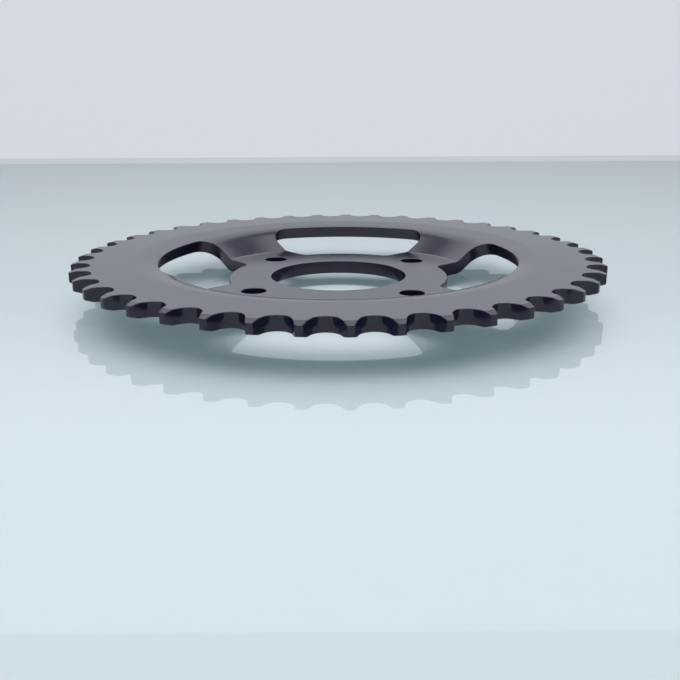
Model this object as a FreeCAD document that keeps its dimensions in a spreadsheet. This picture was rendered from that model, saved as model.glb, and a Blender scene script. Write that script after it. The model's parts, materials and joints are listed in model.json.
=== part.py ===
# Dished rear chain sprocket: one steel plate, pressed, turned and toothed.
#
# Frame: the origin is on the bore's axis, in the plane of the bolting flange's underside.
# +Z is the axis, towards the toothed ring. One tooth and one window are centred on +X.
# Lengths are in millimetres and angles in degrees.

import FreeCAD, Part
import math
import os

import Sketcher
from FreeCAD import Placement, Rotation, Vector

NODE = "sprocket"

# Driving dimensions: alias, value, what it is
SIZES = [
    ("tooth_count", 43, "teeth round the rim"),
    ("chain_pitch", 15.875, "from one chain roller to the next"),
    ("roller_diameter", 10.16, "chain roller"),
    ("seat_clearance", 0.2, "seat radius over the roller's radius"),
    ("tip_height", 3.32, "tooth tip over the pitch circle"),
    ("tip_land", 2.5, "width of a tooth's flat tip"),
    ("tip_bevel_depth", 0.9, "rim bevel, along the axis"),
    ("tip_bevel_reach", 3.1, "rim bevel, along the radius"),
    ("plate_thickness", 5.7, "the one sheet that it is pressed from"),
    ("dish_height", 9.4, "ring underside over flange underside"),
    ("cone_angle", 33.0, "slope of the dished wall"),
    ("crease_radius", 60.5, "where the flange's top meets the wall"),
    ("shoulder_bend", 25.0, "outside bend radius at the ring"),
    ("shoulder_run_out", 11.5, "angle over which that bend runs out into the ring"),
    ("bore_diameter", 58.0, "centring bore"),
    ("bolt_count", 4, "bolt holes, with a window between each pair"),
    ("bolt_circle", 90.0, "diameter of the circle of bolt centres"),
    ("bolt_hole_diameter", 10.2, "clearance hole for a 10 mm bolt"),
    ("window_inner_radius", 47.0, "window's edge beside the bore"),
    ("window_outer_radius", 76.2, "window's edge beside the ring"),
    ("window_side_angle", 45.0, "window's side, from its own centre line"),
    ("bolt_web", 16.4, "bolt centre to a window's side"),
    ("window_inner_corner", 3.1, "corner radius beside the bolt"),
    ("window_outer_corner", 8.8, "corner radius beside the ring"),
    ("cutter_overrun", 0.1, "how far a cut runs past the plate"),
]

# Sizes that follow from the driving ones, as expressions that the document works out
PITCH_RADIUS = "(Sizes.chain_pitch / (2 * sin(180 deg / Sizes.tooth_count)))"
TIP_RADIUS = f"({PITCH_RADIUS} + Sizes.tip_height)"
SEAT_RADIUS = "(Sizes.roller_diameter / 2 + Sizes.seat_clearance)"
SEAT_CENTRE = f"({PITCH_RADIUS} + Sizes.seat_clearance)"
GAP_HALF_ANGLE = f"(180 deg / Sizes.tooth_count - asin(Sizes.tip_land / 2 / {TIP_RADIUS}))"
BORE_RADIUS = "(Sizes.bore_diameter / 2)"
RING_TOP = "(Sizes.dish_height + Sizes.plate_thickness)"
SHOULDER_TANGENT = "(Sizes.shoulder_bend * tan(Sizes.cone_angle / 2))"
SHOULDER_CORNER = "(Sizes.crease_radius + Sizes.dish_height / tan(Sizes.cone_angle))"
SHOULDER_RADIUS = f"({SHOULDER_CORNER} + {SHOULDER_TANGENT})"
SHOULDER_CENTRE_HEIGHT = f"({RING_TOP} - Sizes.shoulder_bend)"
UNDER_SHOULDER_BEND = "(Sizes.shoulder_bend - Sizes.plate_thickness)"
BOLT_ANGLE = "(180 deg / Sizes.bolt_count)"
BOLT_RADIUS = "(Sizes.bolt_circle / 2)"
WINDOW_DEPTH = "(Sizes.window_outer_radius - Sizes.window_inner_radius)"
INNER_CORNER = f"(min(Sizes.window_inner_corner; {WINDOW_DEPTH} * 0.2))"
OUTER_CORNER = f"(min(Sizes.window_outer_corner; {WINDOW_DEPTH} * 0.4))"
CUT_FLOOR = "(0 - Sizes.cutter_overrun)"
CUT_CEILING = f"({RING_TOP} + Sizes.cutter_overrun)"

# The windows are blanked before the plate is dished, so their outer wall stays square to the
# sheet: on the shoulder it points at the centre of the bend, and on the cone it leans as the
# cone does.
SHOULDER_REACH = f"({SHOULDER_RADIUS} - Sizes.window_outer_radius)"
MOST_LEAN = "(Sizes.shoulder_bend * sin(Sizes.cone_angle))"
WALL_LEAN = f"(min(max({SHOULDER_REACH}; 0); {MOST_LEAN}))"
WALL_RISE = f"(sqrt(Sizes.shoulder_bend ^ 2 - {WALL_LEAN} ^ 2))"
WALL_SLOPE = f"({WALL_LEAN} / {WALL_RISE})"
CONE_DROP = f"(max({SHOULDER_REACH} - {MOST_LEAN}; 0) * tan(Sizes.cone_angle))"
WALL_TOP = f"({SHOULDER_CENTRE_HEIGHT} + {WALL_RISE} - {CONE_DROP})"
WINDOW_RADIUS_BELOW = f"(Sizes.window_outer_radius + {WALL_SLOPE} * ({WALL_TOP} - {CUT_FLOOR}))"
WINDOW_RADIUS_ABOVE = f"(Sizes.window_outer_radius + {WALL_SLOPE} * ({WALL_TOP} - {CUT_CEILING}))"

# How a sketch names the ends and the centre of a curve, and its own axes
START, END, CENTRE = 1, 2, 3
AXIS_X = -1
ORIGIN = (-1, 1)

document = FreeCAD.newDocument("ChainSprocket")


def fill_sheet():
    """Write the driving dimensions into the document's spreadsheet."""
    sheet = document.addObject("Spreadsheet::Sheet", "Sizes")
    for row, (alias, value, meaning) in enumerate(SIZES, start=1):
        sheet.set(f"A{row}", alias)
        sheet.set(f"B{row}", str(value))
        sheet.setAlias(f"B{row}", alias)
        sheet.set(f"C{row}", meaning)
    document.recompute()
    return sheet


def number(expression):
    """Present value of an expression, for the place where a curve is first drawn."""
    return float(sheet.evalExpression(expression))


def polar(radius, degrees, centre=(0.0, 0.0)):
    """Point at a radius and an angle from a centre."""
    angle = math.radians(degrees)
    return centre[0] + radius * math.cos(angle), centre[1] + radius * math.sin(angle)


class Drawing:
    """A sketch on one of the body's origin planes, with its curves tied by constraints."""

    def __init__(self, body, name, plane_role, height=None):
        self.sketch = body.newObject("Sketcher::SketchObject", name)
        self.sketch.AttachmentSupport = [(origin_feature(body, plane_role), "")]
        self.sketch.MapMode = "FlatFace"
        if height:
            offset = Placement(Vector(0, 0, number(height)), Rotation())
            self.sketch.AttachmentOffset = offset
            self.sketch.setExpression("AttachmentOffset.Base.z", height)

    def line(self, start, end):
        segment = Part.LineSegment(Vector(*start, 0), Vector(*end, 0))
        return self.sketch.addGeometry(segment, False)

    def guide(self, start, end):
        segment = Part.LineSegment(Vector(*start, 0), Vector(*end, 0))
        return self.sketch.addGeometry(segment, True)

    def arc(self, centre, radius, first, last):
        """Arc that runs anticlockwise from the first angle to the last."""
        circle = Part.Circle(Vector(*centre, 0), Vector(0, 0, 1), radius)
        curve = Part.ArcOfCircle(circle, math.radians(first), math.radians(last))
        return self.sketch.addGeometry(curve, False)

    def soft_curve(self, start, corner, end):
        """Spline of three poles: it leaves each end straight towards the corner."""
        poles = [Vector(*point, 0) for point in (start, corner, end)]
        curve = Part.BSplineCurve()
        curve.buildFromPolesMultsKnots(poles, [3, 3], [0, 1], False, 2)
        index = self.sketch.addGeometry(curve, False)
        self.sketch.exposeInternalGeometry(index)
        return index

    def circle(self, centre, radius):
        curve = Part.Circle(Vector(*centre, 0), Vector(0, 0, 1), radius)
        return self.sketch.addGeometry(curve, False)

    def tie(self, kind, *where):
        """Add a constraint that has no size."""
        return self.sketch.addConstraint(Sketcher.Constraint(kind, *where))

    def join(self, first, second):
        """Make two curve ends meet."""
        return self.tie("Coincident", *first, *second)

    def blend(self, first, second):
        """Make two curve ends meet without a corner."""
        return self.tie("Tangent", *first, *second)

    def size(self, kind, *where, to, name):
        """Add a constraint whose size is bound to the sheet."""
        value = number(to)
        if kind == "Angle":
            value = math.radians(value)
        index = self.sketch.addConstraint(Sketcher.Constraint(kind, *where, value))
        self.sketch.renameConstraint(index, name)
        self.sketch.setExpression(f"Constraints.{name}", to)
        return index


def origin_feature(body, role):
    """Origin plane or axis of a body, by its role."""
    return next(item for item in body.Origin.OriginFeatures if item.Role == role)


def draw_section(body):
    """Turned section of the plate: flange, dished wall, shoulder and toothed ring."""
    drawing = Drawing(body, "PlateSection", "XZ_Plane")
    thickness = number("Sizes.plate_thickness")
    cone = number("Sizes.cone_angle")
    bore = number(BORE_RADIUS)
    ring_top = number(RING_TOP)
    ring_floor = number("Sizes.dish_height")
    tip = number(TIP_RADIUS)
    bevel_depth = number("Sizes.tip_bevel_depth")
    bevel_start = tip - number("Sizes.tip_bevel_reach")
    crease = (number("Sizes.crease_radius"), thickness)
    bend = number("Sizes.shoulder_bend")
    under_bend = bend - thickness
    run_out = number("Sizes.shoulder_run_out")
    centre = (number(SHOULDER_RADIUS), number(SHOULDER_CENTRE_HEIGHT))

    flat = -90.0
    rise = flat + cone
    crest = 90.0
    run_start = crest + run_out
    brow = crest + cone
    half_run = run_out / 2
    pole_reach = 1 / math.cos(math.radians(half_run))
    corners = [
        (bore, thickness),
        crease,
        polar(bend, brow, centre),
        polar(bend, run_start, centre),
        polar(bend, crest, centre),
        (bevel_start, ring_top),
        (tip, ring_top - bevel_depth),
        (tip, ring_floor + bevel_depth),
        (bevel_start, ring_floor),
        polar(under_bend, crest, centre),
        polar(under_bend, run_start, centre),
        polar(under_bend, brow, centre),
        polar(thickness, rise, crease),
        polar(thickness, flat, crease),
        (bore, 0.0),
    ]
    upper_pole = polar(bend * pole_reach, crest + half_run, centre)
    lower_pole = polar(under_bend * pole_reach, crest + half_run, centre)

    flange_top = drawing.line(corners[0], corners[1])
    wall_top = drawing.line(corners[1], corners[2])
    shoulder = drawing.arc(centre, bend, run_start, brow)
    shoulder_end = drawing.soft_curve(corners[3], upper_pole, corners[4])
    ring_face = drawing.line(corners[4], corners[5])
    upper_bevel = drawing.line(corners[5], corners[6])
    rim = drawing.line(corners[6], corners[7])
    lower_bevel = drawing.line(corners[7], corners[8])
    ring_under = drawing.line(corners[8], corners[9])
    under_shoulder_end = drawing.soft_curve(corners[9], lower_pole, corners[10])
    under_shoulder = drawing.arc(centre, under_bend, run_start, brow)
    wall_under = drawing.line(corners[11], corners[12])
    under_crease = drawing.arc(crease, thickness, flat, rise)
    flange_under = drawing.line(corners[13], corners[14])
    bore_wall = drawing.line(corners[14], corners[0])

    drawing.join((flange_top, END), (wall_top, START))
    drawing.blend((wall_top, END), (shoulder, END))
    drawing.blend((shoulder, START), (shoulder_end, START))
    drawing.blend((shoulder_end, END), (ring_face, START))
    drawing.join((ring_face, END), (upper_bevel, START))
    drawing.join((upper_bevel, END), (rim, START))
    drawing.join((rim, END), (lower_bevel, START))
    drawing.join((lower_bevel, END), (ring_under, START))
    drawing.blend((ring_under, END), (under_shoulder_end, START))
    drawing.blend((under_shoulder_end, END), (under_shoulder, START))
    drawing.blend((under_shoulder, END), (wall_under, START))
    drawing.blend((wall_under, END), (under_crease, END))
    drawing.blend((under_crease, START), (flange_under, START))
    drawing.join((flange_under, END), (bore_wall, START))
    drawing.join((bore_wall, END), (flange_top, START))
    drawing.join((under_crease, CENTRE), (flange_top, END))
    drawing.join((shoulder, CENTRE), (under_shoulder, CENTRE))
    for level in (flange_top, ring_face, ring_under, flange_under):
        drawing.tie("Horizontal", level)
    for upright in (rim, bore_wall):
        drawing.tie("Vertical", upright)
    drawing.tie("Vertical", shoulder, CENTRE, ring_face, START)
    drawing.tie("Vertical", shoulder, CENTRE, ring_under, END)

    drawing.size("DistanceX", *ORIGIN, bore_wall, START, to=BORE_RADIUS, name="BoreRadius")
    drawing.size("DistanceX", *ORIGIN, flange_top, END,
                 to="Sizes.crease_radius", name="CreaseRadius")
    drawing.size("DistanceY", *ORIGIN, flange_top, START,
                 to="Sizes.plate_thickness", name="FlangeTop")
    drawing.size("DistanceY", *ORIGIN, ring_face, END, to=RING_TOP, name="RingTop")
    drawing.size("Angle", AXIS_X, START, wall_top, START,
                 to="Sizes.cone_angle", name="ConeAngle")
    drawing.size("Radius", under_crease, to="Sizes.plate_thickness", name="CreaseBend")
    drawing.size("Radius", shoulder, to="Sizes.shoulder_bend", name="ShoulderBend")
    drawing.size("Radius", under_shoulder, to=UNDER_SHOULDER_BEND, name="UnderShoulderBend")
    drawing.size("DistanceY", shoulder, CENTRE, ring_face, START,
                 to="Sizes.shoulder_bend", name="ShoulderRise")
    drawing.size("DistanceY", under_shoulder, CENTRE, ring_under, END,
                 to=UNDER_SHOULDER_BEND, name="UnderShoulderRise")
    drawing.size("DistanceX", shoulder, START, shoulder, CENTRE,
                 to="Sizes.shoulder_bend * sin(Sizes.shoulder_run_out)", name="RunOut")
    drawing.size("DistanceX", under_shoulder, START, under_shoulder, CENTRE,
                 to=f"{UNDER_SHOULDER_BEND} * sin(Sizes.shoulder_run_out)",
                 name="UnderRunOut")
    drawing.size("DistanceX", *ORIGIN, rim, START, to=TIP_RADIUS, name="TipRadius")
    drawing.size("DistanceX", upper_bevel, START, upper_bevel, END,
                 to="Sizes.tip_bevel_reach", name="UpperBevelReach")
    drawing.size("DistanceX", lower_bevel, END, lower_bevel, START,
                 to="Sizes.tip_bevel_reach", name="LowerBevelReach")
    drawing.size("DistanceY", upper_bevel, END, upper_bevel, START,
                 to="Sizes.tip_bevel_depth", name="UpperBevelDepth")
    drawing.size("DistanceY", lower_bevel, END, lower_bevel, START,
                 to="Sizes.tip_bevel_depth", name="LowerBevelDepth")
    return drawing.sketch


def draw_tooth_gap(body):
    """Space between two teeth, on -X: a roller seat and a straight flank on each side."""
    drawing = Drawing(body, "ToothGap", "XY_Plane")
    seat_centre = (-number(SEAT_CENTRE), 0.0)
    seat = number(SEAT_RADIUS)
    tip = number(TIP_RADIUS)
    half_angle = number(GAP_HALF_ANGLE)
    open_end = -tip - number("Sizes.cutter_overrun")
    tip_corner = polar(tip, 180 - half_angle)
    across = tip_corner[0] - seat_centre[0]
    along = tip_corner[1]
    reach = math.hypot(across, along)
    touch = math.degrees(math.atan2(along, across) - math.acos(seat / reach))
    upper_touch = polar(seat, touch, seat_centre)
    lower_touch = (upper_touch[0], -upper_touch[1])
    lower_corner = (tip_corner[0], -tip_corner[1])

    root = drawing.arc(seat_centre, seat, -touch, touch)
    upper_flank = drawing.line(upper_touch, tip_corner)
    upper_edge = drawing.line(tip_corner, (open_end, tip_corner[1]))
    mouth = drawing.line((open_end, tip_corner[1]), (open_end, lower_corner[1]))
    lower_edge = drawing.line((open_end, lower_corner[1]), lower_corner)
    lower_flank = drawing.line(lower_corner, lower_touch)

    drawing.blend((root, END), (upper_flank, START))
    drawing.join((upper_flank, END), (upper_edge, START))
    drawing.join((upper_edge, END), (mouth, START))
    drawing.join((mouth, END), (lower_edge, START))
    drawing.join((lower_edge, END), (lower_flank, START))
    drawing.blend((lower_flank, END), (root, START))
    drawing.tie("PointOnObject", root, CENTRE, AXIS_X)
    drawing.tie("Horizontal", upper_edge)
    drawing.tie("Horizontal", lower_edge)
    drawing.tie("Vertical", mouth)
    drawing.tie("Symmetric", upper_flank, END, lower_flank, START, AXIS_X)

    drawing.size("Radius", root, to=SEAT_RADIUS, name="SeatRadius")
    drawing.size("DistanceX", root, CENTRE, *ORIGIN, to=SEAT_CENTRE, name="SeatCentre")
    drawing.size("DistanceX", upper_flank, END, *ORIGIN,
                 to=f"{TIP_RADIUS} * cos({GAP_HALF_ANGLE})", name="CornerOut")
    drawing.size("DistanceY", *ORIGIN, upper_flank, END,
                 to=f"{TIP_RADIUS} * sin({GAP_HALF_ANGLE})", name="CornerUp")
    drawing.size("DistanceX", mouth, START, *ORIGIN,
                 to=f"{TIP_RADIUS} + Sizes.cutter_overrun", name="MouthOut")
    return drawing.sketch


def bolt_guide(drawing):
    """Construction line from the axis to the centre of the bolt hole beside +X."""
    guide = drawing.guide((0.0, 0.0), polar(number(BOLT_RADIUS), number(BOLT_ANGLE)))
    drawing.join((guide, START), ORIGIN)
    drawing.size("Distance", guide, to=BOLT_RADIUS, name="BoltRadius")
    drawing.size("Angle", AXIS_X, START, guide, START, to=BOLT_ANGLE, name="BoltAngle")
    return guide


def draw_bolt_hole(body):
    """One bolt hole, halfway between two windows."""
    drawing = Drawing(body, "BoltHole", "XY_Plane")
    guide = bolt_guide(drawing)
    centre = polar(number(BOLT_RADIUS), number(BOLT_ANGLE))
    hole = drawing.circle(centre, number("Sizes.bolt_hole_diameter / 2"))
    drawing.join((hole, CENTRE), (guide, END))
    drawing.size("Diameter", hole, to="Sizes.bolt_hole_diameter", name="HoleDiameter")
    return drawing.sketch


def corner_on_side(foot, angle, corner_radius, centre_reach):
    """Centre of a corner arc that touches the window's side, and where it touches it."""
    along = (math.cos(math.radians(angle)), math.sin(math.radians(angle)))
    inward = (along[1], -along[0])
    base = (foot[0] + inward[0] * corner_radius, foot[1] + inward[1] * corner_radius)
    ahead = base[0] * along[0] + base[1] * along[1]
    travel = math.sqrt(ahead ** 2 - base[0] ** 2 - base[1] ** 2 + centre_reach ** 2) - ahead
    centre = (base[0] + travel * along[0], base[1] + travel * along[1])
    touch = (foot[0] + travel * along[0], foot[1] + travel * along[1])
    return centre, touch


def draw_window(body, name, height, outer_radius):
    """Window outline at one height: two arcs round the axis, two sides and four corners."""
    drawing = Drawing(body, name, "XY_Plane", height)
    guide = bolt_guide(drawing)
    angle = number("Sizes.window_side_angle")
    bolt = polar(number(BOLT_RADIUS), number(BOLT_ANGLE))
    foot = polar(number("Sizes.bolt_web"), angle - 90, bolt)
    inner = number("Sizes.window_inner_radius")
    outer = number(outer_radius)
    inner_corner = number(INNER_CORNER)
    outer_corner = number(OUTER_CORNER)
    inner_centre, inner_touch = corner_on_side(foot, angle, inner_corner, inner + inner_corner)
    outer_centre, outer_touch = corner_on_side(foot, angle, outer_corner, outer - outer_corner)
    inner_turn = math.degrees(math.atan2(inner_centre[1], inner_centre[0]))
    outer_turn = math.degrees(math.atan2(outer_centre[1], outer_centre[0]))
    side_turn = angle + 90

    def mirrored(point):
        return point[0], -point[1]

    outer_arc = drawing.arc((0.0, 0.0), outer, -outer_turn, outer_turn)
    inner_arc = drawing.arc((0.0, 0.0), inner, -inner_turn, inner_turn)
    upper_outer = drawing.arc(outer_centre, outer_corner, outer_turn, side_turn)
    upper_side = drawing.line(outer_touch, inner_touch)
    upper_inner = drawing.arc(inner_centre, inner_corner, side_turn, 180 + inner_turn)
    lower_inner = drawing.arc(mirrored(inner_centre), inner_corner,
                              180 - inner_turn, 360 - side_turn)
    lower_side = drawing.line(mirrored(inner_touch), mirrored(outer_touch))
    lower_outer = drawing.arc(mirrored(outer_centre), outer_corner,
                              -side_turn, -outer_turn)

    drawing.blend((outer_arc, END), (upper_outer, START))
    drawing.blend((upper_outer, END), (upper_side, START))
    drawing.blend((upper_side, END), (upper_inner, START))
    drawing.blend((upper_inner, END), (inner_arc, END))
    drawing.blend((inner_arc, START), (lower_inner, START))
    drawing.blend((lower_inner, END), (lower_side, START))
    drawing.blend((lower_side, END), (lower_outer, START))
    drawing.blend((lower_outer, END), (outer_arc, START))
    drawing.join((outer_arc, CENTRE), ORIGIN)
    drawing.join((inner_arc, CENTRE), ORIGIN)
    drawing.tie("Equal", upper_outer, lower_outer)
    drawing.tie("Equal", upper_inner, lower_inner)
    drawing.tie("Symmetric", upper_side, START, lower_side, END, AXIS_X)

    drawing.size("Radius", outer_arc, to=outer_radius, name="OuterRadius")
    drawing.size("Radius", inner_arc, to="Sizes.window_inner_radius", name="InnerRadius")
    drawing.size("Radius", upper_outer, to=OUTER_CORNER, name="OuterCorner")
    drawing.size("Radius", upper_inner, to=INNER_CORNER, name="InnerCorner")
    drawing.size("Angle", AXIS_X, START, upper_side, END,
                 to="Sizes.window_side_angle", name="SideAngle")
    drawing.size("Distance", guide, END, upper_side, to="Sizes.bolt_web", name="BoltWeb")
    return drawing.sketch


def revolve(body, sketch):
    """Turn the section round the axis into the plain dished plate."""
    plate = body.newObject("PartDesign::Revolution", "DishedPlate")
    plate.Profile = sketch
    plate.ReferenceAxis = (sketch, ["V_Axis"])
    plate.Angle = 360
    return plate


def cut_through(body, name, sketch):
    """Cut a sketch's outline right through the plate, both ways from its plane."""
    cut = body.newObject("PartDesign::Pocket", name)
    cut.Profile = sketch
    cut.SideType = "Symmetric"
    cut.Type = "ThroughAll"
    return cut


def repeat(body, name, feature, count):
    """Repeat a cut evenly round the axis."""
    pattern = body.newObject("PartDesign::PolarPattern", name)
    pattern.Originals = [feature]
    pattern.Axis = (origin_feature(body, "Z_Axis"), [""])
    pattern.Angle = 360
    pattern.setExpression("Occurrences", count)
    body.Tip = pattern
    return pattern


def make_sprocket():
    """Dish the plate, then cut the windows, the bolt holes and the tooth gaps."""
    body = document.addObject("PartDesign::Body", "Sprocket")
    body.Label = NODE
    body.Placement = Placement()
    revolve(body, draw_section(body))

    low = draw_window(body, "WindowBelow", CUT_FLOOR, WINDOW_RADIUS_BELOW)
    high = draw_window(body, "WindowAbove", CUT_CEILING, WINDOW_RADIUS_ABOVE)
    window = body.newObject("PartDesign::SubtractiveLoft", "Window")
    window.Profile = low
    window.Sections = [high]
    window.Ruled = True
    repeat(body, "Windows", window, "Sizes.bolt_count")

    bolt_hole = cut_through(body, "BoltHoleCut", draw_bolt_hole(body))
    repeat(body, "BoltHoles", bolt_hole, "Sizes.bolt_count")

    tooth_gap = cut_through(body, "ToothGapCut", draw_tooth_gap(body))
    repeat(body, "Teeth", tooth_gap, "Sizes.tooth_count")
    return body


def check(document, body):
    """Stop if any object of the document failed, or if the body isn't one sound solid."""
    for item in document.Objects:
        if "Invalid" in item.State or "Error" in item.State:
            raise RuntimeError(f"{item.Name} failed: {item.State}")
    shape = body.Shape
    if shape.isNull() or not shape.isValid() or len(shape.Solids) != 1:
        raise RuntimeError(f"{body.Label} isn't one sound solid")


sheet = fill_sheet()
sprocket = make_sprocket()
document.recompute()
check(document, sprocket)
os.makedirs("parts", exist_ok=True)
sprocket.Shape.exportStep(f"parts/{NODE}.step")
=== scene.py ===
# %% [markdown]
# A dished chain sprocket in Blender.
#
# The real object is one steel plate: pressed into a shallow dish, turned at the rim, toothed, and
# dipped in black paint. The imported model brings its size. This lesson dresses it: every edge
# gets the small round that a dipped coat leaves, and the coat gets its gloss. The plan is to make
# one tooth and one quarter of the web as clean meshes, and to let Geometry Nodes turn them round.

import json
import math

import bmesh
import bpy
import numpy as np
from mathutils import Matrix, Vector
from mathutils.geometry import delaunay_2d_cdt


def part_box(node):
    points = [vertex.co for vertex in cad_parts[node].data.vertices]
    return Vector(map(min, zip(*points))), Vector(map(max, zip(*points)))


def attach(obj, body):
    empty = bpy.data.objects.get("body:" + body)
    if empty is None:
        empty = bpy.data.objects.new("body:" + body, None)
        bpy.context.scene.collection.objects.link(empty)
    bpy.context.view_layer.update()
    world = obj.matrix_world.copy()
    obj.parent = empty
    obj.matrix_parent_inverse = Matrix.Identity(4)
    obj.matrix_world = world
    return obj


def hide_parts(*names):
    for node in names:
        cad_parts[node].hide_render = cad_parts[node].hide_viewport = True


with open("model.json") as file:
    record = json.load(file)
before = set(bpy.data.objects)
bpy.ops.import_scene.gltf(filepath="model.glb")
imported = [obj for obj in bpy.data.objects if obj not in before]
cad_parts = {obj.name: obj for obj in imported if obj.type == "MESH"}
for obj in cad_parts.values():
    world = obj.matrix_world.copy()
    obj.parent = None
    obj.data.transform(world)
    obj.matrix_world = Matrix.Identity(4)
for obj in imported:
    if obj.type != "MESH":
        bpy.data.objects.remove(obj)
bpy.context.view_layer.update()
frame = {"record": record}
record = frame["record"]

# %% [markdown]
# The sizes. Blender works in metres, but a sprocket is drawn in millimetres, so the drawing below
# stays in millimetres and one factor turns the finished points into metres. Where the record
# already holds a size, it is read from there, so that the looks can't drift from the real part.

# %% Sizes that the record holds
MM = 0.001
TAU = 2 * math.pi
mounts = {mount["name"]: mount for mount in record["mounts"]}
BORE_RADIUS = mounts["bore"]["dims"]["r_mm"]
BOLT_COUNT = mounts["bolts"]["dims"]["count"]
BOLT_REACH = mounts["bolts"]["dims"]["pcd_mm"] / 2
BOLT_HOLE_RADIUS = mounts["bolts"]["dims"]["hole_r_mm"]
TOOTH_COUNT = mounts["tooth_ring"]["dims"]["count"]
PITCH_RADIUS = mounts["tooth_ring"]["dims"]["pcd_mm"] / 2
THICKNESS = mounts["bolt_head_face"]["pos_m"][2] / MM
RING_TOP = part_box("sprocket")[1].z / MM
print("teeth", TOOTH_COUNT, "pitch radius", PITCH_RADIUS, "ring top", round(RING_TOP, 3))

# %% Sizes that only the drawing holds
ROLLER_RADIUS = 5.08
SEAT_CLEARANCE = 0.2
TIP_RADIUS = PITCH_RADIUS + 3.32
TIP_LAND = 2.5
BEVEL_REACH = 3.1
BEVEL_DEPTH = 0.9
BEVEL_START = TIP_RADIUS - BEVEL_REACH
CONE_ANGLE = math.radians(29.0)
CREASE_RADIUS = 60.7
CREASE_BEND = 1.2
SHOULDER_BEND = 24.0
CREST_BEND = 50.0
CREST_ANGLE = math.radians(11.0)
WINDOW_INNER = 47.0
WINDOW_OUTER = 76.4
WINDOW_SIDE_ANGLE = math.radians(45.0)
BOLT_WEB = 16.4
INNER_CORNER = 4.0
OUTER_CORNER = 8.2

# %% [markdown]
# The plate's section. A pressed plate keeps its thickness, so its top and its underside are the
# same curve at two depths: bends share a centre, and straight runs stay parallel. The shoulder
# has two bends: a tight one off the cone, and a wide one that runs out into the ring. One function
# gives the height and the slope of the sheet at any radius, for any depth under the top. Every
# vertex asks it for its place and for its exact normal, so the bends shade without facets.

# %% The pressed section as a function
CREASE_CENTRE = (CREASE_RADIUS - CREASE_BEND * math.tan(CONE_ANGLE / 2), THICKNESS + CREASE_BEND)
DISH_HEIGHT = RING_TOP - THICKNESS
CREST_CENTRE = (
    CREASE_RADIUS
    + (DISH_HEIGHT - CREST_BEND * (1 - math.cos(CREST_ANGLE))) / math.tan(CONE_ANGLE)
    - SHOULDER_BEND * (math.cos(CREST_ANGLE) - math.cos(CONE_ANGLE)) / math.tan(CONE_ANGLE)
    + SHOULDER_BEND * (math.sin(CONE_ANGLE) - math.sin(CREST_ANGLE))
    + CREST_BEND * math.sin(CREST_ANGLE),
    RING_TOP - CREST_BEND,
)
SHOULDER_CENTRE = (
    CREST_CENTRE[0] - (CREST_BEND - SHOULDER_BEND) * math.sin(CREST_ANGLE),
    CREST_CENTRE[1] + (CREST_BEND - SHOULDER_BEND) * math.cos(CREST_ANGLE),
)


def section(radius, depth):
    """Height and slope of the sheet at a radius, at a depth below its top."""
    crease_bend = CREASE_BEND + depth
    shoulder_bend = SHOULDER_BEND - depth
    crest_bend = CREST_BEND - depth
    crease_end = CREASE_CENTRE[0] + crease_bend * math.sin(CONE_ANGLE)
    shoulder_start = SHOULDER_CENTRE[0] - shoulder_bend * math.sin(CONE_ANGLE)
    crest_start = CREST_CENTRE[0] - crest_bend * math.sin(CREST_ANGLE)
    if radius <= CREASE_CENTRE[0]:
        return CREASE_CENTRE[1] - crease_bend, 0.0
    if radius < crease_end:
        slope = math.asin((radius - CREASE_CENTRE[0]) / crease_bend)
        return CREASE_CENTRE[1] - crease_bend * math.cos(slope), slope
    if radius < shoulder_start:
        foot = CREASE_CENTRE[1] - crease_bend * math.cos(CONE_ANGLE)
        return foot + (radius - crease_end) * math.tan(CONE_ANGLE), CONE_ANGLE
    if radius < crest_start:
        slope = math.asin((SHOULDER_CENTRE[0] - radius) / shoulder_bend)
        return SHOULDER_CENTRE[1] + shoulder_bend * math.cos(slope), slope
    if radius < CREST_CENTRE[0]:
        slope = math.asin((CREST_CENTRE[0] - radius) / crest_bend)
        return CREST_CENTRE[1] + crest_bend * math.cos(slope), slope
    return RING_TOP - depth, 0.0


print("flange top", section(50, 0)[0], "ring underside", round(section(100, THICKNESS)[0], 3))

# %% [markdown]
# The two skins. Near the rim the plate is bevelled from both sides, and a bevel's start would
# shade as a knife edge. A real coat fills it a little, so the slope turns over a short band.

# %% Top and underside
BEVEL_SLOPE = math.atan2(BEVEL_DEPTH, BEVEL_REACH)
BEVEL_BAND = 0.14
TOP = 1
UNDER = -1


def skin(side, x, y):
    """Height and outward normal of one skin above or below a point of the plan."""
    radius = math.hypot(x, y)
    height, slope = section(radius, 0.0 if side == TOP else THICKNESS)
    past_start = max(0.0, radius - BEVEL_START)
    height -= side * past_start * math.tan(BEVEL_SLOPE)
    share = min(1.0, max(0.0, (radius - BEVEL_START) / (2 * BEVEL_BAND) + 0.5))
    slope -= side * share * BEVEL_SLOPE
    radial = -side * math.sin(slope)
    return height, (radial * x / radius, radial * y / radius, side * math.cos(slope))


print("tip edge heights", [round(skin(side, TIP_RADIUS, 0)[0], 3) for side in (TOP, UNDER)])

# %% [markdown]
# Outlines. Everything that is cut through the plate has an outline made of arcs and lines that
# meet without a corner. Each point of an outline keeps two things: its place in the plan, and
# the direction that points from the steel into the air. With that direction the outline can be
# moved into the steel by any distance, which is what the rounded edges need.

# %% Pieces of an outline


def turned(point, angle):
    """A point or a direction of the plan, turned round the axis."""
    cosine, sine = math.cos(angle), math.sin(angle)
    return point[0] * cosine - point[1] * sine, point[0] * sine + point[1] * cosine


def arc_run(centre, radius, first, last, steps, air):
    """Points of an arc, without its last one. Air is +1 outside the arc and -1 inside it."""
    run = []
    for step in range(steps):
        angle = first + (last - first) * step / steps
        out = (math.cos(angle), math.sin(angle))
        place = (centre[0] + radius * out[0], centre[1] + radius * out[1])
        run.append((place, (air * out[0], air * out[1])))
    return run


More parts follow.
